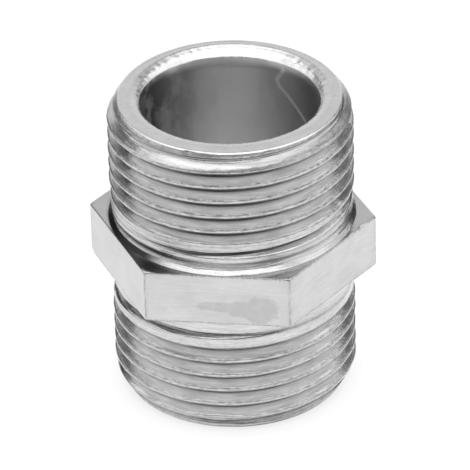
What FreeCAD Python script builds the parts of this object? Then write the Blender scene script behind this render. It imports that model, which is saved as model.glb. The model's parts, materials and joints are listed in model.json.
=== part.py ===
import FreeCAD, Part
import os
import Sketcher

# Hex nipple: a pipe fitting turned from one hexagon bar, with an outside
# parallel pipe thread on each end and one straight bore right through.
#
# Frame: the origin is on the bore axis, half way up the hexagon. +Z runs along
# the bore. Two corners of the hexagon lie on the X axis and two of its flats
# face -Y and +Y. Lengths are in millimetres and angles in degrees.

DIMENSIONS = {
    # G 3/4 parallel pipe thread (ISO 228-1): flank angle from the radial plane
    "ThreadDiameter": 26.441,
    "ThreadPitch": 1.814,
    "ThreadDepth": 1.162,
    "CrestWidth": 0.302,
    "FlankAngle": 27.5,
    # each threaded end, from the hexagon to the end face
    "EndLength": 14.3,
    "FaceDiameter": 24.0,
    "ChamferLength": 1.8,
    # plain neck beside the hexagon, with a sloped foot and a step up to the crests
    "NeckDiameter": 25.9,
    "NeckLength": 1.2,
    "NeckFoot": 0.35,
    # hexagon
    "HexHeight": 6.0,
    "AcrossFlats": 27.0,
    "CornerBreak": 0.25,
    "CornerBreakAngle": 30.0,
    # bore, countersunk at each end face
    "BoreDiameter": 19.4,
    "LipWidth": 0.95,
    "LipDepth": 0.55,
    # height above (and below) the hexagon where each groove is last at full depth,
    # its turns from there to beyond the end face, and its run-out into the neck
    "UpperGrooveStart": 3.05,
    "LowerGrooveStart": 2.7,
    "GrooveTurns": 7.2,
    "GrooveOvercut": 0.2,
    "RunoutTurns": 0.45,
    # the turned blank is made as six equal sectors, one for each side of the hexagon
    "SectorAngle": 60.0,
}

FULL_TURN = 360.0

# A sketch numbers its own origin, and the ends of each line, like this.
SKETCH_ORIGIN = (-1, 1)
START_POINT = 1
END_POINT = 2

# Radii and heights worked out from the driving dimensions.
LEVELS = {
    "ThreadRadius": "Dimensions.ThreadDiameter / 2",
    "FaceRadius": "Dimensions.FaceDiameter / 2",
    "NeckRadius": "Dimensions.NeckDiameter / 2",
    "FootRadius": "Dimensions.NeckDiameter / 2 + Dimensions.NeckFoot",
    "BoreRadius": "Dimensions.BoreDiameter / 2",
    "LipOuterRadius": "Dimensions.BoreDiameter / 2 + Dimensions.LipWidth",
    "HexZ": "Dimensions.HexHeight / 2",
    "FootZ": "Dimensions.HexHeight / 2 + Dimensions.NeckFoot",
    "NeckZ": "Dimensions.HexHeight / 2 + Dimensions.NeckLength",
    "StepZ": "Dimensions.HexHeight / 2 + Dimensions.NeckLength"
             " + (Dimensions.ThreadDiameter - Dimensions.NeckDiameter) / 2",
    "EndZ": "Dimensions.HexHeight / 2 + Dimensions.EndLength",
    "ChamferZ": "Dimensions.HexHeight / 2 + Dimensions.EndLength - Dimensions.ChamferLength",
    "LipZ": "Dimensions.HexHeight / 2 + Dimensions.EndLength - Dimensions.LipDepth",
    "FlatY": "Dimensions.AcrossFlats / 2",
    "CornerX": "Dimensions.AcrossFlats / sqrt(3)",
    "HalfCornerX": "Dimensions.AcrossFlats / sqrt(12)",
    "BreakRadius": "Dimensions.AcrossFlats / sqrt(3) - Dimensions.CornerBreak",
    "BreakZ": "Dimensions.HexHeight / 2"
              " - Dimensions.CornerBreak * tan(Dimensions.CornerBreakAngle)",
    "RootRadius": "Dimensions.ThreadDiameter / 2 - Dimensions.ThreadDepth",
    "CutRadius": "Dimensions.ThreadDiameter / 2 + Dimensions.GrooveOvercut",
    "CutHalfWidth": "(Dimensions.ThreadPitch - Dimensions.CrestWidth) / 2"
                    " + Dimensions.GrooveOvercut * tan(Dimensions.FlankAngle)",
    "RootHalfWidth": "(Dimensions.ThreadPitch - Dimensions.CrestWidth) / 2"
                     " - Dimensions.ThreadDepth * tan(Dimensions.FlankAngle)",
    "UpperGrooveZ": "Dimensions.HexHeight / 2 + Dimensions.UpperGrooveStart",
    "LowerGrooveZ": "Dimensions.HexHeight / 2 + Dimensions.LowerGrooveStart",
}


def make_sheet(doc):
    """Spreadsheet with one aliased cell for each driving dimension."""
    sheet = doc.addObject("Spreadsheet::Sheet", "Dimensions")
    for row, (alias, value) in enumerate(DIMENSIONS.items(), start=1):
        sheet.set("A%d" % row, alias)
        sheet.set("B%d" % row, str(value))
        sheet.setAlias("B%d" % row, alias)
    doc.recompute()
    return sheet


def make_levels(doc):
    """Derived radii and heights, each bound to the sheet by its formula."""
    levels = doc.addObject("App::VarSet", "Levels")
    for name, formula in LEVELS.items():
        levels.addProperty("App::PropertyFloat", name, "Levels")
        levels.setExpression(name, formula)
    doc.recompute()
    return levels


def origin_feature(body, role):
    """The plane or axis of the body's own origin that has the given role."""
    for feature in body.Origin.OriginFeatures:
        if feature.Role == role:
            return feature
    raise LookupError(role)


def new_sketch(body, name, role):
    """Empty sketch on one of the body's origin planes."""
    sketch = body.newObject("Sketcher::SketchObject", name)
    sketch.AttachmentSupport = [(origin_feature(body, role), "")]
    sketch.MapMode = "FlatFace"
    return sketch


def coordinate_value(levels, names):
    """Sum of the named levels: "EndZ -LipRadius" is EndZ minus LipRadius."""
    total = 0.0
    for name in names.split():
        sign = -1.0 if name.startswith("-") else 1.0
        total += sign * getattr(levels, name.lstrip("-"))
    return total


def coordinate_formula(names):
    """The same sum as an expression; no names at all make zero."""
    terms = []
    for name in names.split():
        sign = "-" if name.startswith("-") else ""
        terms.append("(%sLevels.%s)" % (sign, name.lstrip("-")))
    return " + ".join(terms) or "0"


def negative(names):
    """The coordinate on the other side of zero."""
    return " ".join(
        name[1:] if name.startswith("-") else "-" + name for name in names.split()
    )


def tie_coordinate(sketch, levels, kind, line, names):
    """Bind one coordinate of a line's start to levels."""
    value = coordinate_value(levels, names)
    constraint = Sketcher.Constraint(kind, *SKETCH_ORIGIN, line, START_POINT, value)
    index = sketch.addConstraint(constraint)
    sketch.setExpression("Constraints[%d]" % index, coordinate_formula(names))


def add_outline(sketch, levels, corners):
    """Closed outline through the corners, each a pair of coordinates in levels."""
    points = [
        FreeCAD.Vector(coordinate_value(levels, x), coordinate_value(levels, y), 0)
        for x, y in corners
    ]
    lines = [
        sketch.addGeometry(Part.LineSegment(start, end))
        for start, end in zip(points, points[1:] + points[:1])
    ]
    for line, following in zip(lines, lines[1:] + lines[:1]):
        joint = Sketcher.Constraint("Coincident", line, END_POINT, following, START_POINT)
        sketch.addConstraint(joint)
    for line, (x, y) in zip(lines, corners):
        tie_coordinate(sketch, levels, "DistanceX", line, x)
        tie_coordinate(sketch, levels, "DistanceY", line, y)


def mirrored(corners):
    """The corners below the XY plane that mirror the given ones above it."""
    return [(x, negative(z)) for x, z in reversed(corners)]


def make_hexagon(body, levels):
    """Solid hexagon, centred on the XY plane."""
    sketch = new_sketch(body, "HexagonOutline", "XY_Plane")
    add_outline(sketch, levels, [
        ("CornerX", ""),
        ("HalfCornerX", "FlatY"),
        ("-HalfCornerX", "FlatY"),
        ("-CornerX", ""),
        ("-HalfCornerX", "-FlatY"),
        ("HalfCornerX", "-FlatY"),
    ])
    pad = body.newObject("PartDesign::Pad", "Hexagon")
    pad.Profile = sketch
    pad.setExpression("Length", "Dimensions.HexHeight")
    pad.Midplane = True
    pad.Refine = False


def make_barrels(doc, body, levels):
    """Both barrels, with necks and end chamfers, turned as equal sectors."""
    upper = [
        ("FootRadius", "HexZ"),
        ("NeckRadius", "FootZ"),
        ("NeckRadius", "NeckZ"),
        ("ThreadRadius", "StepZ"),
        ("ThreadRadius", "ChamferZ"),
        ("FaceRadius", "EndZ"),
        ("", "EndZ"),
    ]
    sketch = new_sketch(body, "BarrelOutline", "XZ_Plane")
    add_outline(sketch, levels, upper + mirrored(upper))
    sector = body.newObject("PartDesign::Revolution", "BarrelSector")
    sector.Profile = sketch
    sector.ReferenceAxis = (origin_feature(body, "Z_Axis"), [""])
    sector.setExpression("Angle", "Dimensions.SectorAngle")
    sector.Refine = False
    doc.recompute()
    sectors = body.newObject("PartDesign::PolarPattern", "BarrelSectors")
    sectors.Originals = [sector]
    sectors.Axis = (origin_feature(body, "Z_Axis"), [""])
    sectors.Angle = FULL_TURN
    sectors.setExpression("Occurrences", "%g / Dimensions.SectorAngle" % FULL_TURN)
    sectors.Refine = False
    body.Tip = sectors


def revolved_cut(body, name, sketch):
    """Take a full turn of the sketch about the bore axis away from the body."""
    cut = body.newObject("PartDesign::Groove", name)
    cut.Profile = sketch
    cut.ReferenceAxis = (origin_feature(body, "Z_Axis"), [""])
    cut.Angle = FULL_TURN
    cut.Refine = False


def make_bore(body, levels):
    """Straight bore, countersunk at each end face."""
    lower = [("", "-EndZ"), ("LipOuterRadius", "-EndZ"), ("BoreRadius", "-LipZ")]
    sketch = new_sketch(body, "BoreOutline", "XZ_Plane")
    add_outline(sketch, levels, lower + mirrored(lower))
    revolved_cut(body, "Bore", sketch)


def make_corner_breaks(body, levels):
    """Small turned chamfer on the hexagon's corners, above and below."""
    upper = [("BreakRadius", "HexZ"), ("CornerX", "HexZ"), ("CornerX", "BreakZ")]
    sketch = new_sketch(body, "CornerBreakOutline", "XZ_Plane")
    add_outline(sketch, levels, upper)
    add_outline(sketch, levels, mirrored(upper))
    revolved_cut(body, "CornerBreaks", sketch)


def helical_cut(body, name, sketch, downwards):
    """Right-handed helical cut of the sketch about the bore axis."""
    cut = body.newObject("PartDesign::SubtractiveHelix", name)
    cut.Profile = sketch
    cut.ReferenceAxis = (origin_feature(body, "Z_Axis"), [""])
    cut.LeftHanded = False
    cut.Reversed = downwards
    cut.Refine = False
    return cut


def make_thread(doc, body, levels, end, side, groove_z, downwards):
    """Helical groove on one end, and the run-out where it fades into the neck.

    The groove's outline lies on the side of the axis that side names. From there
    the groove goes to the end face and its run-out goes the other way.
    """
    def corner(radius, offset):
        return (side + radius, groove_z + " " + offset)

    sketch = new_sketch(body, end + "GrooveOutline", "XZ_Plane")
    add_outline(sketch, levels, [
        corner("RootRadius", "-RootHalfWidth"),
        corner("CutRadius", "-CutHalfWidth"),
        corner("CutRadius", "CutHalfWidth"),
        corner("RootRadius", "RootHalfWidth"),
    ])
    groove = helical_cut(body, end + "Groove", sketch, downwards)
    groove.Mode = "pitch-turns-angle"
    groove.setExpression("Pitch", "Dimensions.ThreadPitch")
    groove.setExpression("Turns", "Dimensions.GrooveTurns")
    doc.recompute()
    runout = helical_cut(body, end + "Runout", sketch, not downwards)
    runout.Mode = "height-turns-growth"
    runout.setExpression("Height", "Dimensions.ThreadPitch * Dimensions.RunoutTurns")
    runout.setExpression("Turns", "Dimensions.RunoutTurns")
    runout.setExpression(
        "Growth",
        "(Dimensions.ThreadDepth + Dimensions.GrooveOvercut) / Dimensions.RunoutTurns",
    )
    doc.recompute()


def check_model(doc, bodies):
    """Stop unless every object was rebuilt and every sub-part is a sound solid."""
    for item in doc.Objects:
        if {"Invalid", "Error"} & set(item.State):
            raise RuntimeError("%s failed: %s" % (item.Label, item.State))
    for body in bodies:
        shape = body.Shape
        if shape.isNull() or not shape.isValid() or len(shape.Solids) != 1:
            raise RuntimeError("%s is not one valid solid" % body.Label)


def make_nipple(doc, levels):
    """The whole fitting, which is one piece of metal."""
    body = doc.addObject("PartDesign::Body", "NippleBody")
    body.Label = "nipple_body"
    make_hexagon(body, levels)
    make_barrels(doc, body, levels)
    make_bore(body, levels)
    make_corner_breaks(body, levels)
    doc.recompute()
    blank_volume = body.Shape.Volume
    make_thread(doc, body, levels, "Upper", "", "UpperGrooveZ", False)
    make_thread(doc, body, levels, "Lower", "-", "-LowerGrooveZ", True)
    print("blank %.0f mm3, threaded %.0f mm3" % (blank_volume, body.Shape.Volume))
    return body


def main():
    doc = FreeCAD.newDocument("HexNipple")
    make_sheet(doc)
    levels = make_levels(doc)
    bodies = [make_nipple(doc, levels)]
    check_model(doc, bodies)
    os.makedirs("parts", exist_ok=True)
    for body in bodies:
        body.Shape.exportStep("parts/%s.step" % body.Label)


main()
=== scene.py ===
import json
import math

import bmesh
import bpy
import numpy as np
from mathutils import Matrix, Vector


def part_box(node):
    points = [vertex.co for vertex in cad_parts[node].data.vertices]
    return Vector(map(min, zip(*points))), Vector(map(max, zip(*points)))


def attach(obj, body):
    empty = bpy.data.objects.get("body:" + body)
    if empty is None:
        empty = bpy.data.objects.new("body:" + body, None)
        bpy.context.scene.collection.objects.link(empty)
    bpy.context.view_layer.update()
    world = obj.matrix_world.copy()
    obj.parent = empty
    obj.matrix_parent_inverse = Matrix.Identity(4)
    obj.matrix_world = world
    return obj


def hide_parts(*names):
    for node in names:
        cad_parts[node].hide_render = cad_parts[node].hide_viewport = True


# Hex nipple: the looks of a one-piece plated pipe fitting, built around its packed
# CAD model. Shapes are worked out in millimetres and turned into metres when the
# mesh is made. Each threaded end is described by its height above (or below) the
# middle plane of the hexagon and by the angle round the bore axis.

MM = 0.001
NODE = "nipple_body"
FULL_TURN = 2 * math.pi

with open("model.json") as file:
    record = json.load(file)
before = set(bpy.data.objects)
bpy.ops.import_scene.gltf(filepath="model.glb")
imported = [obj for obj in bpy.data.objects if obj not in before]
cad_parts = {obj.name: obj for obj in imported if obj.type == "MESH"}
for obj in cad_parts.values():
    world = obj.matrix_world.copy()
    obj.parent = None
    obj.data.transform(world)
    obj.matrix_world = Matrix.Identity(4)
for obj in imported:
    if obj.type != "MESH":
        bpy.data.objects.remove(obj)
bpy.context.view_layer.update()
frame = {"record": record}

# ---------------------------------------------------------------- sizes, mm
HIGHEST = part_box(NODE)[1]
MOUNTS = {mount["name"]: mount for mount in frame["record"]["mounts"]}
END_HEIGHT = HIGHEST.z / MM
CORNER_RADIUS = HIGHEST.x / MM
FLAT_DISTANCE = HIGHEST.y / MM
HEX_TOP = MOUNTS["upper_shoulder"]["pos_m"][2] / MM
BORE_RADIUS = MOUNTS["flow_bore"]["dims"]["r_mm"]
CREST_RADIUS = MOUNTS["upper_thread"]["dims"]["r_mm"]

# countersunk mouth of the bore: a shallow cone that was cut a little off the axis
LIP_WIDTH = 0.95
LIP_OFFSET = 0.50
LIP_OFFSET_ANGLE = math.radians(90.0)
LIP_SLOPE = math.tan(math.radians(30))
LIP_CROWN = 0.10
LIP_HAMMERING = 0.012
# how the lip's relief stands off its cone, as parts outwards and upwards
LIP_RELIEF_OUT = -0.5
LIP_RELIEF_UP = 0.87
FACE_UNEVENNESS = 0.008

# G 3/4 thread form
PITCH = 1.814
THREAD_DEPTH = 1.162
FLANK_ANGLE = math.radians(27.5)
CREST_FLAT = 0.302
CREST_ROUNDING = 0.12
ROOT_ROUNDING = 0.22
ROOT_HALF_WIDTH = (PITCH - CREST_FLAT) / 2 - THREAD_DEPTH * math.tan(FLANK_ANGLE)
# rounding of the edge where a groove cuts into the turned surface
CUT_ROUNDING = 0.06
# run-out beside the neck: the groove rises out of the metal by RUNOUT_LIFT over
# RUNOUT_TURNS, and leans RUNOUT_DROP towards the hexagon over RUNOUT_DROP_TURNS
RUNOUT_TURNS = 0.50
RUNOUT_LIFT = 1.362
RUNOUT_CURVE = 1.2
RUNOUT_DROP = 0.35
RUNOUT_DROP_TURNS = 0.10

# neck beside the hexagon: the foot is its sloped step down to the neck's own radius
NECK_RADIUS = 12.93
FOOT_RADIUS = 13.38
FOOT_TOP = HEX_TOP + FOOT_RADIUS - NECK_RADIUS
NECK_ROUNDING = 0.12
FOOT_ROUNDING = 0.05
NECK_LINE_WIDTH = 0.24
NECK_LINE_DEPTH = 0.10
# wear of the crests nearest the neck: its depth, the height below which it starts, and
# the height over which it fades in
WORN_CREST = 0.20
WORN_BELOW = 8.0
WORN_OVER = 2.6

# turning marks: depth of the smooth unevenness of the ends, and of the finer chatter
WEAR_DEPTH = 0.012
CHATTER_DEPTH = 0.006
NICKS_PER_END = 46
BORE_UNEVENNESS = 0.012
BORE_SEED = 41

# painted shade along the thread's root: its reach from the middle, its soft edge, and
# the depth at which a groove holds all of it
ROOT_SHADE_REACH = 0.32
ROOT_SHADE_EDGE = 0.16
ROOT_SHADE_FULL_DEPTH = 0.24
# below this height the upper end's last groove holds painted shade all the way round
LAST_GROOVE_TOP = HEX_TOP + 3.9
# painted shade: a thin dark line along the upper edge of each crest, measured from the groove's
# middle
EDGE_LINE_OFFSET = 0.71
EDGE_LINE_WIDTH = 0.05
EDGE_LINE_SHADE = 0.85
# the directions round the axis with the least and the most painted shade
LEAST_SHADE_ANGLE = math.radians(10)
SHADED_FRONT_ANGLE = math.radians(-86)
SHADED_CORNER_ANGLE = math.radians(-121)
SHADED_FOOT_ANGLE = math.radians(185)
SHADED_SIDE_SPREAD = math.radians(60)
SHADED_FRONT_SPREAD = math.radians(24)
SHADED_CORNER_SPREAD = math.radians(17)
# how far painted shade reaches from the foot on a hexagon face, and how much farther at
# the most shaded corner
FACE_SHADE_REACH = 0.20
CORNER_SHADE_REACH = 1.7
# turning marks and painted shade on the chamfers, and roots with less painted shade, begin this
# far from an end face, over this height
CHAMFER_REACH = 2.4
CHAMFER_EDGE = 0.8
# whatever is farther from the axis than this is on the outside of the fitting
OUTSIDE_RADIUS = BORE_RADIUS + 1.5

# the parts of the bore wall with painted shade, one mottled and one even: middle and half width
# of each, in degrees
BORE_MOTTLED_SHADE = (170, 40)
BORE_EVEN_SHADE = (22, 34)

# hexagon: rounded edges, turned breaks on the corners, and flats that aren't quite flat
SIXTH_TURN = FULL_TURN / 6
EDGE_ROUNDING = 0.09
CORNER_ROUNDING = 0.25
CORNER_BREAK = 0.22
CORNER_BREAK_SLOPE = math.tan(math.radians(60))
CORNER_BREAK_ROUNDING = 0.05
FLAT_UNEVENNESS = 0.006
HEXAGON_SEED = 31
EDGE_KNOCKS = [
    # angle, height, radius, reach and depth of each
    (math.radians(352.0), HEX_TOP, 15.0, (0.7, 0.45), 0.32),
    (math.radians(344.0), HEX_TOP, 14.3, (0.5, 0.25), 0.10),
    (math.radians(299.2), HEX_TOP, 15.4, (0.4, 0.25), 0.12),
    (math.radians(241.2), HEX_TOP, 15.4, (0.4, 0.25), 0.10),
    (math.radians(62.0), HEX_TOP, 15.4, (0.6, 0.3), 0.18),
    (math.radians(179.0), -HEX_TOP, 15.4, (0.6, 0.3), 0.15),
    (math.radians(121.5), -HEX_TOP, 15.4, (0.5, 0.4), 0.14),
]

# mesh density: extra columns beside each corner, in degrees from it; rows of the thread
# form, in mm from a groove's middle; and how near to a ring a row has to be to join it
COLUMNS_PER_SIDE = 40
CORNER_COLUMNS = (0.15, 0.30, 0.46, 0.75)
FORM_ROWS = (0.10, 0.18, 0.27, 0.45, 0.63, 0.72, 0.80)
SNAP = 0.03
# rows as shares of the way: down the neck's foot, out over the end face, round the
# face's edge, and out over the hexagon's face
FOOT_ROWS = (0.12, 0.22, 0.35, 0.55, 0.75, 0.90, 0.985)
FACE_ROWS = (0.25, 0.55, 0.85, 1.0)
SHOULDER_ROWS = (0.3, 0.65)
HEX_FACE_ROWS = (0.0, 0.08, 0.3, 0.6, 0.88, 1.0)
# degrees round a hexagon edge, and heights of the rows on the upper half of a flat
HEX_EDGE_TURNS = (35, 65, 90)
FLAT_ROWS = (2.84, 2.74, 2.4, 1.6, 0.8)
LIP_STEPS = 9
BORE_ROWS = 25
# the rounded edge between the end face and the chamfer, and the heights where the
# rows that follow the thread start and end
SHOULDER_ROUNDING = 0.12
THREAD_START = FOOT_TOP + 0.10
THREAD_END = END_HEIGHT - SHOULDER_ROUNDING

# ends: +1 is the upper one. Going round counter-clockwise the groove climbs, so its
# height from the middle plane grows on the upper end and shrinks on the lower one.
# groove_start is the height where the groove's full depth begins, at groove_angle.
# groove_shade and neck_shade scale the painted shade in each end's thread roots and neck line
ENDS = {
    +1: {"groove_angle": 0.0, "groove_start": HEX_TOP + 3.05, "face_radius": 12.0,
         "chamfer_length": 1.75, "neck_radius": NECK_RADIUS, "neck_top": HEX_TOP + 1.2,
         "neck_line": HEX_TOP + 0.90, "groove_shade": 1.0, "neck_shade": 1.0, "seed": 11},
    -1: {"groove_angle": math.pi, "groove_start": HEX_TOP + 2.7, "face_radius": 11.9,
         "chamfer_length": 2.3, "neck_radius": 13.08, "neck_top": HEX_TOP + 2.0,
         "neck_line": HEX_TOP + 1.85, "groove_shade": 0.6, "neck_shade": 1.7, "seed": 23},
}


# ---------------------------------------------------------------- shape maths
def soft_min(a, b, width):
    """The smaller of a and b, with the crease between them rounded over width."""
    overlap = np.maximum(width - np.abs(a - b), 0.0)
    return np.minimum(a, b) - overlap ** 2 / (4 * width)


def soft_max(a, b, width):
    return -soft_min(-a, -b, width)


def smooth_step(t):
    t = np.clip(t, 0.0, 1.0)
    return t * t * (3 - 2 * t)


def near_angle(angle, centre, width):
    """1 at the centre angle, falling to 0 about two widths away on both sides."""
    turn = (angle - centre + math.pi) % FULL_TURN - math.pi
    return np.exp(-(turn / width) ** 2)


def polar(points):
    """Angle round the bore axis and distance from it, for each point."""
    return np.arctan2(points[:, 1], points[:, 0]), np.hypot(points[:, 0], points[:, 1])


def ripple(angle, height, seed, waves, per_turn, per_mm):
    """Smooth random relief of about unit size, which closes up after a full turn.

    It adds up a number of waves. per_turn is the range of their periods round the
    axis, and per_mm the range of radians that they advance for each millimetre of height.
    """
    rng = np.random.RandomState(seed)
    total = np.zeros(np.broadcast(angle, height).shape)
    for _ in range(waves):
        turns = rng.randint(per_turn[0], per_turn[1] + 1) * rng.choice((-1, 1))
        pace = rng.uniform(*per_mm)
        phase = rng.uniform(0, FULL_TURN)
        total = total + np.sin(turns * angle + pace * height + phase)
    return total * math.sqrt(2.0 / waves)


def dent(angle, height, at_angle, at_height, radius, reach, depth):
    """Rounded dent of the given depth; reach is its size (along, across) in mm."""
    turn = (angle - at_angle + math.pi) % FULL_TURN - math.pi
    along = turn * radius / reach[0]
    across = (height - at_height) / reach[1]
    return depth * np.exp(-(along ** 2 + across ** 2))


def groove_depth(offset):
    """Depth of the thread form below the crests, offset mm from a groove's middle."""
    flank = THREAD_DEPTH - (np.abs(offset) - ROOT_HALF_WIDTH) / math.tan(FLANK_ANGLE)
    cut = soft_min(flank, THREAD_DEPTH, ROOT_ROUNDING)
    return soft_max(cut, 0.0, CREST_ROUNDING)


def groove_height(side, angle):
    """Height of the groove's middle, for the turn that starts at groove_start."""
    end = ENDS[side]
    return end["groove_start"] + side * PITCH * (angle - end["groove_angle"]) / FULL_TURN


def blank_radius(side, height):
    """Radius of the turned end before it was threaded."""
    end = ENDS[side]
    slope = (CREST_RADIUS - end["face_radius"]) / end["chamfer_length"]
    chamfer = end["face_radius"] + (END_HEIGHT - height) * slope
    worn = WORN_CREST * smooth_step((WORN_BELOW - height) / WORN_OVER)
    barrel = soft_min(CREST_RADIUS - worn, chamfer, CUT_ROUNDING)
    step = end["neck_radius"] + np.maximum(height - end["neck_top"], 0.0)
    barrel = soft_min(barrel, step, NECK_ROUNDING)
    foot = NECK_RADIUS + (FOOT_TOP - height)
    return soft_max(barrel, foot, FOOT_ROUNDING) - NECK_LINE_DEPTH * neck_line(side, height)


def neck_line(side, height):
    """Faint turned line round the neck, from 0 beside it to 1 in its middle."""
    return np.exp(-((height - ENDS[side]["neck_line"]) / NECK_LINE_WIDTH) ** 2)


def groove_at(side, angle, height, above):
    """Offset from a groove's middle, and how far its run-out has lifted it.

    The groove is the nearest one, or with above = 1 the one over it.
    """
    start = groove_height(side, angle)
    middle = start + PITCH * (np.round((height - start) / PITCH) + above)
    missing = np.maximum(ENDS[side]["groove_start"] - middle, 0.0) / PITCH
    lift = (missing / RUNOUT_TURNS) ** RUNOUT_CURVE * RUNOUT_LIFT
    drop = RUNOUT_DROP * smooth_step(missing / RUNOUT_DROP_TURNS)
    return height - middle + drop, lift


def end_radius(side, angle, height):
    """Radius of a threaded end, with run-out, wear and small dents."""
    end = ENDS[side]
    blank = blank_radius(side, height)
    radius = blank
    for above in (0, 1):
        offset, lift = groove_at(side, angle, height, above)
        cut = CREST_RADIUS - groove_depth(offset) + lift
        radius = soft_min(radius, cut, CUT_ROUNDING)
    crest = smooth_step(1 - (blank - radius) / 0.35)
    wear = WEAR_DEPTH * ripple(angle, height, end["seed"], 14, (3, 22), (0.2, 2.0))
    chatter = ripple(angle, height, end["seed"] + 1, 16, (24, 80), (0.5, 4.0))
    radius = radius + wear * (0.35 + 0.65 * crest) + CHATTER_DEPTH * chatter
    for nick in crest_nicks(end["seed"] + 2):
        radius = radius - crest * dent(angle, height, *nick)
    return np.minimum(radius, np.where(height > FOOT_TOP, CREST_RADIUS, FOOT_RADIUS))


def crest_nicks(seed):
    """Small knocks on the crests: angle, height, radius, reach and depth of each."""
    rng = np.random.RandomState(seed)
    for _ in range(NICKS_PER_END):
        reach = (rng.uniform(0.25, 0.8), rng.uniform(0.15, 0.35))
        yield (rng.uniform(0, FULL_TURN), rng.uniform(HEX_TOP + 2.0, END_HEIGHT),
               CREST_RADIUS, reach, rng.uniform(0.03, 0.10))


def turn_from_corner(angle):
    """Angle between a direction and the hexagon's nearest corner."""
    return np.abs((angle + SIXTH_TURN / 2) % SIXTH_TURN - SIXTH_TURN / 2)


def hexagon_radius(angle):
    """Distance from the axis to the hexagon's side, with its corners rounded."""
    half = SIXTH_TURN / 2
    from_corner = turn_from_corner(angle)
    flat = FLAT_DISTANCE / np.cos(half - from_corner)
    centre = (FLAT_DISTANCE - CORNER_ROUNDING) / math.cos(half)
    inside = np.maximum(CORNER_ROUNDING ** 2 - (centre * np.sin(from_corner)) ** 2, 0.0)
    corner = centre * np.cos(from_corner) + np.sqrt(inside)
    tangent = half - math.atan((centre * math.sin(half)) / FLAT_DISTANCE)
    return np.where(from_corner < tangent, corner, flat)


def hexagon_side(angle, height):
    """The same at a height, with the corner breaks, faint waves and edge knocks."""
    side = hexagon_radius(angle)
    to_edge = HEX_TOP - np.abs(height)
    breaks = CORNER_RADIUS - CORNER_BREAK + to_edge * CORNER_BREAK_SLOPE
    side = soft_min(side, breaks, CORNER_BREAK_ROUNDING)
    waves = ripple(angle, height, HEXAGON_SEED, 10, (2, 14), (0.1, 0.9))
    side = side + FLAT_UNEVENNESS * (waves - 1.5)
    for knock in EDGE_KNOCKS:
        side = side - dent(angle, height, *knock)
    return np.minimum(side, hexagon_radius(angle))


# ---------------------------------------------------------------- the mesh
# parts of the surface, in the order of the fitting's materials
ZONES = ("bore", "rim", "thread", "hexagon")


def column_angles():
    """Angles of the mesh's columns, closer together at the hexagon's corners."""
    side = 360.0 / 6
    degrees = []
    for corner in range(6):
        for step in range(COLUMNS_PER_SIDE):
            degrees.append(side * (corner + step / COLUMNS_PER_SIDE))
        for offset in CORNER_COLUMNS:
            degrees += [side * corner + offset, side * corner - offset]
    return np.radians(np.sort(np.mod(degrees, 360.0)))


class Skin:
    """Rings of vertices round the bore axis, joined one after another by quads."""

    def __init__(self):
        self.angles = column_angles()
        self.points = []
        self.count = 0
        self.rings = []
        self.zones = []

    def add_points(self, radius, height):
        """New vertices, one for each column; returns their numbers."""
        angles = self.angles
        columns = (radius * np.cos(angles), radius * np.sin(angles), height)
        self.points.append(np.stack(np.broadcast_arrays(*columns), axis=1))
        numbers = np.arange(self.count, self.count + len(angles))
        self.count += len(angles)
        return numbers

    def make_ring(self, radius, height):
        """Vertices of a ring that closes on itself, not joined to anything yet."""
        numbers = self.add_points(radius, height)
        return np.append(numbers, numbers[0])

    def join_ring(self, ring, zone):
        """The skin's next ring; zone is what the strip up to it is."""
        self.rings.append(ring)
        self.zones.append(zone)

    def add_ring(self, radius, height, zone):
        self.join_ring(self.make_ring(radius, height), zone)

    def add_helix(self, side, low, high, zone):
        """The threaded wall from height low to height high, in rows that follow the
        groove. low and high are (height, ring) pairs of rings already made."""
        angles = self.angles
        climb = side * PITCH * angles / FULL_TURN
        base = ENDS[side]["groove_start"] - side * PITCH * ENDS[side]["groove_angle"] / FULL_TURN
        offsets = sorted([0.0, PITCH / 2, *FORM_ROWS, *(-row for row in FORM_ROWS)])
        first = math.floor((low[0] - base) / PITCH) - 2
        last = math.ceil((high[0] - base) / PITCH) + 2
        levels = [base + PITCH * turn + row for turn in range(first, last) for row in offsets]
        rows = []
        for level in levels:
            height = level + climb
            is_low = height < low[0] + SNAP
            is_high = height > high[0] - SNAP
            radius = end_radius(side, angles, height)
            numbers = self.add_points(radius, side * height)
            numbers = np.where(is_low, low[1][:-1], numbers)
            rows.append(np.where(is_high, high[1][:-1], numbers))
        per_turn = len(offsets)
        closed = []
        for index, row in enumerate(rows):
            partner = index + side * per_turn
            if partner < 0:
                seam = low[1][0]
            elif partner >= len(rows):
                seam = high[1][0]
            else:
                seam = rows[partner][0]
            closed.append(np.append(row, seam))
        if side > 0:
            closed.reverse()
        self.rings += closed
        self.zones += [zone] * len(closed)

    def faces(self):
        """Quads, and triangles where a row ends on a ring, each with its zone."""
        found = []
        for index, ring in enumerate(self.rings):
            previous = self.rings[index - 1]
            for column in range(len(self.angles)):
                corners = [previous[column], ring[column],
                           ring[column + 1], previous[column + 1]]
                kept = []
                for corner in corners:
                    if corner not in kept:
                        kept.append(corner)
                if len(kept) > 2:
                    found.append((kept, self.zones[index]))
        return found


def lip_width(angle):
    """Width of the countersunk mouth, which is wider on one side."""
    return LIP_WIDTH + LIP_OFFSET * np.cos(angle - LIP_OFFSET_ANGLE)


def lip_profile(side, angle, share):
    """Point of the hammered mouth, from the bore (share = 0) to the end face (share = 1)."""
    width = lip_width(angle)
    crown = LIP_CROWN * math.sin(math.pi * share) ** 2
    seed = ENDS[side]["seed"] + 5
    hammered = LIP_HAMMERING * ripple(angle, 2.0 * share, seed, 18, (20, 80), (0.3, 2.0))
    relief = (crown + hammered * math.sin(math.pi * share)) * width
    radius = BORE_RADIUS + width * share + LIP_RELIEF_OUT * relief
    height = END_HEIGHT - LIP_SLOPE * width * (1 - share) + LIP_RELIEF_UP * relief
    return radius, np.minimum(height, END_HEIGHT)


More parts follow.
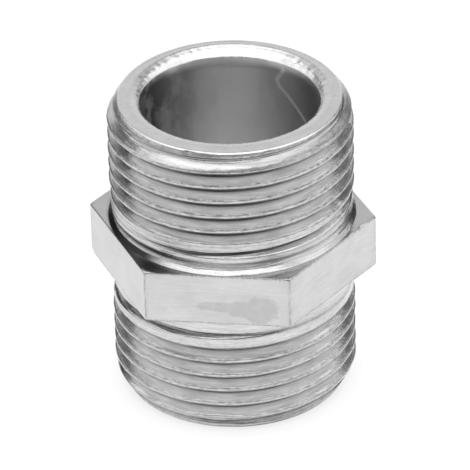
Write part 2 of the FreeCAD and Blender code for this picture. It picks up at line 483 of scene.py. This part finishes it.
def mouth_rings(angles, side):
    """Lip, face and rounded edge of one end, in order from the bore outwards."""
    end = ENDS[side]
    rings = []
    for share in np.linspace(0, 1, LIP_STEPS)[1:]:
        rings.append(lip_profile(side, angles, share))
    inner = BORE_RADIUS + lip_width(angles)
    outer = end["face_radius"] - SHOULDER_ROUNDING
    for share in FACE_ROWS:
        waves = ripple(angles, 4 * share, end["seed"] + 7, 12, (2, 30), (0.5, 3))
        relief = FACE_UNEVENNESS * (waves - 2.2)
        level = END_HEIGHT + np.minimum(relief, 0.0) * math.sin(math.pi * share)
        rings.append((inner + (outer - inner) * share, level))
    reach = blank_radius(side, THREAD_END)
    for share in SHOULDER_ROWS:
        rest = 1 - share
        bend = rest ** 2 * outer + 2 * share * rest * end["face_radius"] + share ** 2 * reach
        drop = (1 - share ** 2) * END_HEIGHT + share ** 2 * THREAD_END
        rings.append((bend, drop))
    return rings


def foot_rings(angles, side):
    """Rings from under the thread down the neck's sloped foot, to the hexagon."""
    rings = []
    for share in FOOT_ROWS:
        height = THREAD_START + (HEX_TOP - THREAD_START) * share
        rings.append((end_radius(side, angles, height), height))
    return rings


def add_upper_end(skin):
    """The upper end, from the bore outwards and down to the hexagon."""
    side, angles = +1, skin.angles
    for radius, height in mouth_rings(angles, side):
        skin.add_ring(radius, height, "rim")
    high_ring = skin.make_ring(end_radius(side, angles, THREAD_END), THREAD_END)
    low_ring = skin.make_ring(end_radius(side, angles, THREAD_START), THREAD_START)
    skin.join_ring(high_ring, "rim")
    skin.add_helix(side, (THREAD_START, low_ring), (THREAD_END, high_ring), "thread")
    skin.join_ring(low_ring, "thread")
    for radius, height in foot_rings(angles, side):
        skin.add_ring(radius, height, "thread")


def add_lower_end(skin):
    """The lower end, from the hexagon down and inwards to the bore."""
    side, angles = -1, skin.angles
    for radius, height in reversed(foot_rings(angles, side)):
        skin.add_ring(radius, -height, "thread")
    low_ring = skin.make_ring(end_radius(side, angles, THREAD_START), -THREAD_START)
    high_ring = skin.make_ring(end_radius(side, angles, THREAD_END), -THREAD_END)
    skin.join_ring(low_ring, "thread")
    skin.add_helix(side, (THREAD_START, low_ring), (THREAD_END, high_ring), "thread")
    skin.join_ring(high_ring, "thread")
    for radius, height in reversed(mouth_rings(angles, side)):
        skin.add_ring(radius, -height, "rim")


def hexagon_half(angles, side):
    """Rings of one half: its face from the neck outwards, its edge, then its flats."""
    rings = []
    rim = hexagon_side(angles, side * HEX_TOP) - EDGE_ROUNDING
    for share in HEX_FACE_ROWS:
        rings.append((FOOT_RADIUS + (rim - FOOT_RADIUS) * share, side * HEX_TOP))
    for turn in np.radians(HEX_EDGE_TURNS):
        height = HEX_TOP - EDGE_ROUNDING * (1 - math.cos(turn))
        reach = EDGE_ROUNDING * (1 - math.sin(turn))
        rings.append((hexagon_side(angles, side * height) - reach, side * height))
    for height in FLAT_ROWS:
        rings.append((hexagon_side(angles, side * height), side * height))
    return rings


def add_hexagon(skin):
    """Both faces, both edges and the six flats, from the top down."""
    upper = hexagon_half(skin.angles, +1)
    middle = [(hexagon_side(skin.angles, 0.0), 0.0)]
    lower = hexagon_half(skin.angles, -1)
    for radius, height in upper + middle + lower[::-1]:
        skin.add_ring(radius, height, "hexagon")


def add_bore(skin):
    """Bore wall from the lower lip up to the upper lip."""
    wall = lip_profile(+1, skin.angles, 0.0)[1]
    for part in np.linspace(-1, 1, BORE_ROWS):
        height = part * wall
        relief = ripple(skin.angles, height, BORE_SEED, 12, (1, 7), (0.05, 0.5))
        skin.add_ring(BORE_RADIUS + BORE_UNEVENNESS * relief, height, "bore")


def build_skin():
    skin = Skin()
    add_bore(skin)
    add_upper_end(skin)
    add_hexagon(skin)
    add_lower_end(skin)
    return skin


def make_mesh(skin, name):
    """Mesh of the skin, in metres and smooth shaded, with one material number for each
    zone and the values that the materials read at each point."""
    points = np.concatenate(skin.points) * MM
    faces = skin.faces()
    used = sorted({corner for corners, _ in faces for corner in corners})
    renumber = {old: new for new, old in enumerate(used)}
    mesh = bpy.data.meshes.new(name)
    mesh.from_pydata(points[used].tolist(), [],
                     [[renumber[corner] for corner in corners] for corners, _ in faces])
    zone_numbers = [ZONES.index(zone) for _, zone in faces]
    mesh.polygons.foreach_set("material_index", zone_numbers)
    mesh.polygons.foreach_set("use_smooth", [True] * len(faces))
    shape = points[used] / MM
    # painted shade in the thread's roots, along the crests' upper edges, in the neck lines,
    # beside the necks and on one side of the bore; bore_even_shade is painted shade on the bore's
    # other side
    painted_shade = np.maximum(groove_painted_shade(shape), corner_painted_shade(shape))
    looks = {"painted_shade": np.maximum(painted_shade, bore_painted_shade(shape, *BORE_MOTTLED_SHADE)),
             "bore_even_shade": bore_painted_shade(shape, *BORE_EVEN_SHADE),
             "edge": hexagon_edge(shape),
             "crest": thread_crest(shape),
             "marks_and_shade": marks_and_painted_shade(shape)}
    for label, values in looks.items():
        attribute = mesh.attributes.new(label, "FLOAT", "POINT")
        attribute.data.foreach_set("value", values)
    work = bmesh.new()
    work.from_mesh(mesh)
    bmesh.ops.recalc_face_normals(work, faces=work.faces)
    work.to_mesh(mesh)
    work.free()
    mesh.validate()
    return mesh


def at_chamfer(height):
    """0 along the barrel of an end, rising to 1 about where its chamfer begins."""
    return smooth_step((height - END_HEIGHT + CHAMFER_REACH) / CHAMFER_EDGE)


def groove_painted_shade(points):
    """Painted shade on the threaded ends: at the thread's root, along the upper edge of each
    crest, and in the line turned round each neck. 0 is unshaded and 1 is fully shaded."""
    painted_shade = np.zeros(len(points))
    angle, radius = polar(points)
    angle = angle % FULL_TURN
    for side, end in ENDS.items():
        height = side * points[:, 2]
        deep = smooth_step((blank_radius(side, height) - radius) / ROOT_SHADE_FULL_DEPTH)
        outside = (radius > OUTSIDE_RADIUS) & (height > HEX_TOP + 0.1)
        root = np.zeros(len(points))
        edge = np.zeros(len(points))
        for above in (0, 1):
            offset, lift = groove_at(side, angle, height, above)
            root = np.maximum(root, smooth_step((ROOT_SHADE_REACH - np.abs(offset)) / ROOT_SHADE_EDGE))
            line = np.exp(-((side * offset + EDGE_LINE_OFFSET) / EDGE_LINE_WIDTH) ** 2)
            edge = np.maximum(edge, line * (1 - smooth_step(lift / 0.4)))
        threaded = smooth_step((END_HEIGHT - 1.9 - height) / 0.4)
        turned_away = np.cos(angle - LEAST_SHADE_ANGLE)
        neck = end["neck_shade"] * (0.52 - 0.42 * turned_away) * neck_line(side, height)
        fade = 1 - 0.55 * at_chamfer(height)
        front = near_angle(angle, SHADED_FRONT_ANGLE, SHADED_FRONT_SPREAD)
        strength = (0.70 - 0.15 * turned_away + 0.28 * front) * end["groove_shade"]
        last = smooth_step((LAST_GROOVE_TOP - height) / 0.5) * (side > 0)
        root = root * np.maximum(strength, last) * fade
        line = EDGE_LINE_SHADE * end["groove_shade"] * edge * threaded
        painted_shade = painted_shade + outside * np.maximum(np.maximum(root * deep, neck), line)
    return painted_shade


def corner_painted_shade(points):
    """Painted shade on the hexagon's faces beside the necks, and on the foot of the upper neck.
    """
    angle, radius = polar(points)
    height = np.abs(points[:, 2])
    shaded_side = near_angle(angle, LEAST_SHADE_ANGLE + math.pi, SHADED_SIDE_SPREAD)
    shaded_corner = near_angle(angle, SHADED_CORNER_ANGLE, SHADED_CORNER_SPREAD)
    reach = FACE_SHADE_REACH + CORNER_SHADE_REACH * shaded_corner
    near = smooth_step((FOOT_RADIUS + reach - radius) / 0.25)
    shaded_foot = smooth_step((np.cos(angle - SHADED_FOOT_ANGLE) - 0.45) / 0.25)
    on_face = (np.abs(height - HEX_TOP) < 0.02) & (radius > FOOT_RADIUS - 0.02)
    on_foot = ((height < FOOT_TOP) & (height > HEX_TOP) & (points[:, 2] > 0)
               & (radius > NECK_RADIUS - 0.1))
    face = near * np.maximum(shaded_side, shaded_corner) * on_face
    return np.maximum(face, 1.2 * shaded_foot * on_foot)


def marks_and_painted_shade(points):
    """How much a point is darkened: turning marks on the necks, and turning marks with painted
    shade on the end chamfers, most on the lower one.
    """
    angle, radius = polar(points)
    height = np.abs(points[:, 2])
    neck = smooth_step((WORN_BELOW - height) / 2.0) * (height > FOOT_TOP)
    neck = neck * (0.55 - 0.45 * np.cos(angle - LEAST_SHADE_ANGLE))
    chamfer = at_chamfer(height)
    upper = points[:, 2] > 0
    marked = np.where(upper, np.maximum(neck, 0.6 * chamfer), np.maximum(0.3 * neck, chamfer))
    return marked * (radius > OUTSIDE_RADIUS)


def thread_crest(points):
    """1 on the thread's crests, less on the worn ones beside the necks, and falling
    to 0 a little way down the flanks."""
    radius = polar(points)[1]
    height = np.abs(points[:, 2])
    top = np.where(points[:, 2] > 0, blank_radius(+1, height), blank_radius(-1, height))
    turned = 1 - 0.7 * smooth_step((WORN_BELOW - height) / WORN_OVER)
    return turned * smooth_step(1 - (top - radius) / 0.22) * (height > HEX_TOP + 1.0)


def bore_painted_shade(points, centre, width):
    """How much painted shade the bore wall has round one angle, from 0 to 1."""
    angle, radius = polar(points)
    spread = near_angle(angle, math.radians(centre), math.radians(width))
    return spread * (radius < BORE_RADIUS + 0.05)


def hexagon_edge(points):
    """1 along the hexagon's edges, falling to 0 a few tenths of a millimetre away."""
    angle, radius = polar(points)
    upright = np.exp(-(turn_from_corner(angle) * radius / 0.16) ** 2)
    from_flat = hexagon_radius(angle) - radius
    from_face = HEX_TOP - np.abs(points[:, 2])
    level = np.exp(-((from_face - EDGE_ROUNDING) / 0.11) ** 2) * (from_flat < 0.08)
    on_side = (from_flat < 0.4) & (from_face > -0.01)
    return np.maximum(upright, level) * on_side


# ---------------------------------------------------------------- materials
def plain_grey(level):
    return (level, level, level, 1)


class Graph:
    """Short-hand for building a material's node tree."""

    def __init__(self, name):
        self.material = bpy.data.materials.new(name)
        self.material.use_nodes = True
        self.tree = self.material.node_tree
        self.tree.nodes.clear()

    def node(self, kind, inputs=None, **settings):
        made = self.tree.nodes.new(kind)
        for key, value in settings.items():
            setattr(made, key, value)
        for key, value in (inputs or {}).items():
            if isinstance(value, bpy.types.NodeSocket):
                self.tree.links.new(value, made.inputs[key])
            else:
                made.inputs[key].default_value = value
        return made

    def math(self, operation, a, b=0.0, c=0.0):
        values = {0: a, 1: b, 2: c}
        return self.node("ShaderNodeMath", values, operation=operation).outputs[0]

    def mix(self, a, b, share):
        """A share of b with the rest of a."""
        kept = self.math("MULTIPLY", a, 1 - share)
        return self.math("MULTIPLY_ADD", b, share, kept)

    def vector(self, operation, a, b=None, output="Vector", scale=False):
        """Vector arithmetic; with scale, b is the number that a is multiplied by."""
        values = {0: a}
        if b is not None:
            values["Scale" if scale else 1] = b
        return self.node("ShaderNodeVectorMath", values, operation=operation).outputs[output]

    def attribute(self, name):
        return self.node("ShaderNodeAttribute", attribute_name=name).outputs["Fac"]

    def place(self, scale):
        """Position in millimetres, scaled along each axis."""
        where = self.node("ShaderNodeTexCoord").outputs["Object"]
        scaled = [s / MM for s in scale]
        return self.node("ShaderNodeMapping", {"Vector": where, "Scale": scaled}).outputs[0]

    def noise(self, vector, scale=1.0, detail=4.0, roughness=0.55, distortion=0.0):
        values = {"Vector": vector, "Scale": scale, "Detail": detail,
                  "Roughness": roughness, "Distortion": distortion}
        return self.node("ShaderNodeTexNoise", values).outputs["Fac"]

    def remap(self, value, low, high, to_low, to_high):
        values = {"Value": value, "From Min": low, "From Max": high,
                  "To Min": to_low, "To Max": to_high}
        return self.node("ShaderNodeMapRange", values).outputs[0]

    def blend(self, factor, first, second):
        """Colour between two colours."""
        values = {0: factor, 6: first, 7: second}
        return self.node("ShaderNodeMix", values, data_type="RGBA").outputs[2]

    def grey(self, noise, dark, light):
        """Grey that a noise value takes from dark to light."""
        factor = self.remap(noise, 0.3, 0.7, 0.0, 1.0)
        return self.blend(factor, plain_grey(dark), plain_grey(light))

    def bump(self, height, distance, strength=1.0, normal=None):
        values = {"Height": height, "Distance": distance * MM, "Strength": strength}
        if normal is not None:
            values["Normal"] = normal
        return self.node("ShaderNodeBump", values).outputs[0]

    def axis_distance(self):
        """Position's three parts, and its distance from the bore axis, in millimetres."""
        parts = self.node("ShaderNodeSeparateXYZ", {0: self.place((1, 1, 1))}).outputs
        square = self.math("ADD", self.math("MULTIPLY", parts[0], parts[0]),
                           self.math("MULTIPLY", parts[1], parts[1]))
        return parts, self.math("SQRT", square)

    def surface(self, shader):
        """The finished material, which has this shader on its surface."""
        output = self.node("ShaderNodeOutputMaterial")
        self.tree.links.new(shader.outputs[0], output.inputs["Surface"])
        return self.material

    def metal(self, colour, roughness, normal):
        return self.surface(self.node("ShaderNodeBsdfPrincipled", {
            "Base Color": colour, "Roughness": roughness, "Normal": normal,
            "Metallic": 1.0}))


def radius_vector(graph, across, along):
    """Vector that changes fast with the distance from the axis and slowly round it."""
    parts, distance = graph.axis_distance()
    radius = graph.math("MULTIPLY", distance, across)
    combined = graph.node("ShaderNodeCombineXYZ", {
        0: graph.math("MULTIPLY", parts[0], along),
        1: graph.math("MULTIPLY", parts[1], along), 2: radius})
    return combined.outputs[0]


def thread_metal():
    graph = Graph("plated_thread")
    painted_shade = graph.attribute("painted_shade")
    marks_and_shade = graph.attribute("marks_and_shade")
    streaks = graph.noise(graph.place((0.35, 0.35, 7.0)), detail=5)
    marks = graph.noise(graph.place((0.07, 0.07, 3.6)), detail=5, roughness=0.6)
    patches = graph.noise(graph.place((0.25, 0.25, 0.6)), detail=4)
    grain = graph.noise(graph.place((5, 5, 9)), detail=3)
    tone = graph.mix(patches, streaks, 0.65)
    patchy = graph.remap(patches, 0.3, 0.7, 0.82, 1.0)
    # turning marks, which on the chamfers also paint shade, most on the lower one
    marked_and_shaded = graph.math("MULTIPLY", marks_and_shade, graph.remap(marks, 0.44, 0.66, 0.0, 0.75))
    crest = graph.attribute("crest")
    flecks = graph.noise(graph.place((1.5, 1.5, 5.0)), detail=5, roughness=0.65)
    broken = graph.remap(flecks, 0.46, 0.62, 0.0, 1.0)
    bare = graph.math("MULTIPLY", crest, graph.remap(flecks, 0.40, 0.58, 0.85, 0.0))
    # painted shade in the roots, crest edges, neck lines and beside the necks, plus turning marks
    # that carry painted shade on the chamfers, darken the colour nearly to black
    held_shade = graph.math("MULTIPLY", painted_shade, graph.math("SUBTRACT", patchy, bare))
    shade_and_marks = graph.math("MAXIMUM", held_shade, marked_and_shaded)
    clean = graph.grey(tone, 0.53, 0.82)
    dulled = graph.blend(graph.math("MULTIPLY", crest, broken), clean, plain_grey(0.42))
    colour = graph.blend(shade_and_marks, dulled, plain_grey(0.045))
    smooth = graph.remap(graph.math("ADD", patches, painted_shade), 0.3, 1.6, 0.12, 0.32)
    roughness = graph.math("MULTIPLY_ADD", crest, 0.22, smooth)
    turned = graph.bump(graph.math("MULTIPLY", marks, marks_and_shade), 0.05)
    fine = graph.bump(streaks, 0.014, normal=turned)
    rough = graph.bump(graph.math("MULTIPLY", crest, flecks), 0.045, normal=fine)
    normal = graph.bump(grain, 0.014, normal=rough)
    return graph.metal(colour, roughness, normal)


def rim_metal():
    graph = Graph("plated_rim")
    rings = graph.noise(radius_vector(graph, 4.0, 0.10), detail=2)
    hammer = graph.noise(graph.place((1.2, 1.2, 1.2)), detail=2, distortion=0.6)
    patches = graph.noise(graph.place((0.4, 0.4, 0.4)), detail=4)
    colour = graph.grey(patches, 0.76, 0.86)
    roughness = graph.remap(hammer, 0.3, 0.7, 0.22, 0.34)
    turned = graph.bump(rings, 0.008)
    normal = graph.bump(hammer, 0.010, normal=turned)
    return graph.metal(colour, roughness, normal)


def hexagon_metal():
    graph = Graph("plated_hexagon")
    drawn = graph.noise(graph.place((0.3, 0.3, 3.5)), detail=5)
    patches = graph.noise(graph.place((0.22, 0.22, 0.22)), detail=5, roughness=0.6)
    scratch = graph.noise(graph.place((6, 0.5, 1.2)), detail=2)
    tone = graph.mix(patches, drawn, 0.3)
    clean = graph.grey(tone, 0.53, 0.71)
    stain = water_stain(graph)
    dulled = graph.blend(stain, clean, plain_grey(0.50))
    broken = graph.remap(scratch, 0.38, 0.62, 0.1, 0.9)
    worn = graph.math("MULTIPLY", graph.attribute("edge"), broken)
    edged = graph.blend(worn, dulled, plain_grey(0.33))
    # painted shade on the hexagon's faces beside the necks darkens the colour
    colour = graph.blend(graph.attribute("painted_shade"), edged, plain_grey(0.05))
    dull = graph.math("MULTIPLY_ADD", stain, 0.12, graph.remap(patches, 0.35, 0.7, 0.17, 0.29))
    fine = graph.bump(drawn, 0.010)
    normal = graph.bump(scratch, 0.006, normal=fine)
    return graph.metal(colour, dull, normal)


# centre and half size of the overlapping spots of the dried drop, in millimetres
WATER_SPOTS = [
    ((4.6, -13.5, -1.05), (2.0, 3.0, 1.80)),
    ((2.7, -13.5, -1.05), (1.9, 3.0, 1.10)),
    ((0.7, -13.5, -0.85), (2.0, 3.0, 0.62)),
    ((-1.1, -13.5, -0.75), (1.2, 3.0, 0.52)),
]


def water_stain(graph):
    """Dull patch with a tail, left by a dried drop on the front flat."""
    ragged = graph.noise(graph.place((1.1, 1.1, 1.1)), detail=5, roughness=0.6)
    inside = 0.0
    for centre, reach in WATER_SPOTS:
        offset = graph.vector("SUBTRACT", graph.place((1, 1, 1)), centre)
        distance = graph.vector("LENGTH", graph.vector("DIVIDE", offset, reach), None, "Value")
        edge = graph.math("MULTIPLY_ADD", ragged, 1.1, distance)
        spot = graph.remap(edge, 1.40, 1.62, 1.0, 0.0)
        inside = graph.math("MAXIMUM", spot, inside)
    cloudy = graph.remap(ragged, 0.35, 0.65, 0.9, 0.55)
    return graph.math("MULTIPLY", inside, cloudy)


# painted highlight: a bright reflection line on the bore wall, as angle in degrees and height of
# each of its corners
BORE_HIGHLIGHT_LINE = [(60.5, 15.8), (65.8, 14.4), (63.5, 13.6), (52.0, 12.1), (41.5, 10.8)]
BORE_HIGHLIGHT_WIDTH = 0.34


def bore_metal():
    graph = Graph("plated_bore")
    smear = graph.noise(graph.place((0.30, 0.30, 0.10)), detail=4, distortion=0.8)
    blotch = graph.noise(graph.place((0.33, 0.33, 0.22)), detail=5, roughness=0.6, distortion=0.4)
    grain = graph.noise(graph.place((3, 3, 3)), detail=4)
    clean = graph.grey(smear, 0.68, 0.78)
    mottled = graph.remap(blotch, 0.42, 0.58, 0.25, 1.0)
    # painted shade on two sides of the bore wall: mottled on one, even on the other
    dark = graph.math("MULTIPLY", graph.attribute("painted_shade"), mottled)
    mottled_shaded = graph.blend(dark, clean, plain_grey(0.13))
    bore_even_shade = graph.math("MULTIPLY", graph.attribute("bore_even_shade"), 0.9)
    evenly_shaded = graph.blend(bore_even_shade, mottled_shaded, plain_grey(0.24))
    # painted highlight: a bright reflection line on the bore wall
    colour = graph.blend(painted_highlight_line(graph), evenly_shaded, plain_grey(0.95))
    roughness = graph.remap(smear, 0.3, 0.7, 0.38, 0.50)
    normal = graph.bump(grain, 0.012)
    return graph.metal(colour, roughness, normal)


def painted_highlight_line(graph):
    """1 along the painted highlight line on the bore wall, 0 away from it."""
    corners = [Vector((BORE_RADIUS * math.cos(math.radians(angle)),
                       BORE_RADIUS * math.sin(math.radians(angle)), height))
               for angle, height in BORE_HIGHLIGHT_LINE]
    where = graph.place((1, 1, 1))
    line = 0.0
    for start, end in zip(corners, corners[1:]):
        run = end - start
        offset = graph.vector("SUBTRACT", where, start)
        share = graph.vector("DOT_PRODUCT", offset, run / run.length_squared, "Value")
        share = graph.math("MINIMUM", graph.math("MAXIMUM", share, 0.0), 1.0)
        nearest = graph.vector("SCALE", run, share, scale=True)
        gap = graph.vector("LENGTH", graph.vector("SUBTRACT", offset, nearest), None, "Value")
        near = graph.remap(gap, BORE_HIGHLIGHT_WIDTH / 3, BORE_HIGHLIGHT_WIDTH, 0.9, 0.0)
        line = graph.math("MAXIMUM", near, line)
    return line


# ---------------------------------------------------------------- studio
# the camera looks from the photo's angle; the distance and the lens set how strong its
# perspective is, and the aims move the fitting within the frame
CAMERA_AZIMUTH = math.radians(7.8)
CAMERA_ELEVATION = math.radians(31.92)
CAMERA_ROLL = math.radians(-1.40)
CAMERA_DISTANCE = 0.563
CAMERA_LENS = 397.3
AIM_HEIGHT = -1.96 * MM
AIM_RIGHT = 0.18 * MM
AIM_UP = 1.51 * MM

# lights in metres: name, centre, size, aim and radiance. Centres and aims are (side,
# away, height), as studio_point takes them.
SOFTBOXES = [
    ("overhead", (0, -0.07, 0.42), (0.68, 0.62), (0, -0.07, 0), 0.90),
    ("tent", (0, 0.0, 0.50), (0.80, 0.86), (0, 0.0, 0), 0.46),
    ("backdrop", (0, 0.60, 0.24), (0.80, 0.50), (0, 0, 0.24), 0.60),
    ("front_fill", (0, -0.80, 0.48), (0.9, 0.45), (0, 0, 0), 0.15),
]
# two lights stand on each side, one above the other: name, height, own height, radiance
SIDE_SOFTBOXES = [("side_panel", 0.145, 0.25, 0.62), ("side_top", 0.365, 0.19, 1.15)]
SIDE_DISTANCE = 0.42
SIDE_AWAY = -0.02
SIDE_LENGTH = 0.74
WORLD_GREY = 0.15

# dark cards: how far to the side they stand, where along the side they start and end,
# how high each one reaches, and the gap that keeps them off the table
CARD_SIDE = 0.075
CARD_START = 0.018
CARD_END = 0.13
CARD_TOPS = {-1: 0.028, +1: 0.020}
CARD_GAP = 0.0003
CARD_GREY = 0.03

# table: half its width; its own glow at distances from the bore axis, which are shares
# of a reach in millimetres; the dip in the glow round the fitting's foot is a painted shadow
TABLE_REACH = 3.0
TABLE_RAMP_REACH = 20.0
TABLE_GLOW_AND_SHADOW = [(0.47, 1.00), (0.56, 0.72), (0.64, 0.90), (0.76, 0.99)]


def camera_axes():
    """Backward, right and up directions of the camera, before any shift of aim."""
    flat = math.cos(CAMERA_ELEVATION)
    back = Vector((math.sin(CAMERA_AZIMUTH) * flat, -math.cos(CAMERA_AZIMUTH) * flat,
                   math.sin(CAMERA_ELEVATION)))
    level = Vector((0, 0, 1)).cross(back).normalized()
    right = Matrix.Rotation(CAMERA_ROLL, 3, back) @ level
    return back, right, back.cross(right)


def make_camera():
    back, right, up = camera_axes()
    place = Vector((0, 0, AIM_HEIGHT)) + back * CAMERA_DISTANCE
    target = Vector((0, 0, AIM_HEIGHT)) + right * AIM_RIGHT + up * AIM_UP
    back = (place - target).normalized()
    right = up.cross(back).normalized()
    up = back.cross(right)
    data = bpy.data.cameras.new("camera")
    data.lens = CAMERA_LENS
    data.sensor_width = 36.0
    data.clip_start = 0.01
    data.clip_end = 20.0
    camera = bpy.data.objects.new("camera", data)
    turn = Matrix((right, up, back)).transposed()
    camera.matrix_world = Matrix.Translation(place) @ turn.to_4x4()
    bpy.context.scene.collection.objects.link(camera)
    bpy.context.scene.camera = camera


def studio_point(side, away, height):
    """Point beside the fitting: side to the camera's right, away from the camera."""
    turn = Matrix.Rotation(CAMERA_AZIMUTH, 3, "Z")
    return turn @ Vector((side, away, height))


def add_softbox(name, centre, size, target, radiance):
    """Rectangular area light whose face has the given radiance, aimed at target."""
    data = bpy.data.lights.new(name, "AREA")
    data.shape = "RECTANGLE"
    data.size, data.size_y = size
    data.energy = radiance * math.pi * size[0] * size[1]
    light = bpy.data.objects.new(name, data)
    light.location = centre
    light.rotation_euler = (target - centre).to_track_quat("-Z", "Y").to_euler()
    bpy.context.scene.collection.objects.link(light)


def dark_card():
    graph = Graph("dark_card")
    return graph.surface(graph.node("ShaderNodeBsdfDiffuse", {"Color": plain_grey(CARD_GREY)}))


def glowing_table_with_painted_shadow():
    """Pale table that glows softly, with a painted shadow: less glow in a ring where the fitting
    stands on it.
    """
    graph = Graph("glowing_table_with_painted_shadow")
    distance = graph.axis_distance()[1]
    ramp = graph.node("ShaderNodeValToRGB", {
        "Fac": graph.math("DIVIDE", distance, TABLE_RAMP_REACH)})
    stops = ramp.color_ramp.elements
    for index, (at, level) in enumerate(TABLE_GLOW_AND_SHADOW):
        stop = stops[index] if index < 2 else stops.new(at)
        stop.position = at
        stop.color = plain_grey(level)
    return graph.surface(graph.node("ShaderNodeBsdfPrincipled", {
        "Base Color": plain_grey(0.05), "Roughness": 0.9,
        "Emission Color": ramp.outputs[0], "Emission Strength": 1.0}))


def add_sheet(name, corners, material):
    """Flat four-cornered piece of the studio."""
    mesh = bpy.data.meshes.new(name)
    mesh.from_pydata(corners, [], [(0, 1, 2, 3)])
    mesh.materials.append(material)
    sheet = bpy.data.objects.new(name, mesh)
    bpy.context.scene.collection.objects.link(sheet)
    return sheet


def make_floor():
    reach = TABLE_REACH
    level = -END_HEIGHT * MM
    add_sheet("floor", [(-reach, -reach, level), (reach, -reach, level),
                        (reach, reach, level), (-reach, reach, level)], glowing_table_with_painted_shadow())


def make_flags():
    """Dark cards standing on both sides, which only reflections see."""
    dark = dark_card()
    bottom = -END_HEIGHT * MM + CARD_GAP
    for side, top in CARD_TOPS.items():
        near = studio_point(side * CARD_SIDE, CARD_START, 0)
        far = studio_point(side * CARD_SIDE, CARD_END, 0)
        corners = [(near.x, near.y, bottom), (far.x, far.y, bottom),
                   (far.x, far.y, top), (near.x, near.y, top)]
        flag = add_sheet("side_card", corners, dark)
        flag.visible_camera = False
        flag.visible_diffuse = False
        flag.visible_shadow = False


def make_studio():
    for name, centre, size, aim, radiance in SOFTBOXES:
        add_softbox(name, studio_point(*centre), size, studio_point(*aim), radiance)
    for side in (-1, 1):
        for name, height, width, radiance in SIDE_SOFTBOXES:
            add_softbox(name, studio_point(side * SIDE_DISTANCE, SIDE_AWAY, height),
                        (SIDE_LENGTH, width), studio_point(0, SIDE_AWAY, height), radiance)
    world = bpy.data.worlds.new("studio")
    world.use_nodes = True
    world.node_tree.nodes["Background"].inputs[0].default_value = plain_grey(WORLD_GREY)
    bpy.context.scene.world = world
    view = bpy.context.scene.view_settings
    view.view_transform = "Standard"
    view.look = "None"


def make_fitting():
    mesh = make_mesh(build_skin(), "hex_nipple_body")
    for material in (bore_metal(), rim_metal(), thread_metal(), hexagon_metal()):
        mesh.materials.append(material)
    fitting = bpy.data.objects.new("hex_nipple_body", mesh)
    bpy.context.scene.collection.objects.link(fitting)
    shading = fitting.modifiers.new("weighted_normals", "WEIGHTED_NORMAL")
    shading.mode = "FACE_AREA"
    shading.keep_sharp = False
    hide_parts(NODE)
    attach(fitting, "root")
    print("triangles", sum(len(p.vertices) - 2 for p in mesh.polygons))


make_camera()
make_floor()
make_flags()
make_studio()
make_fitting()
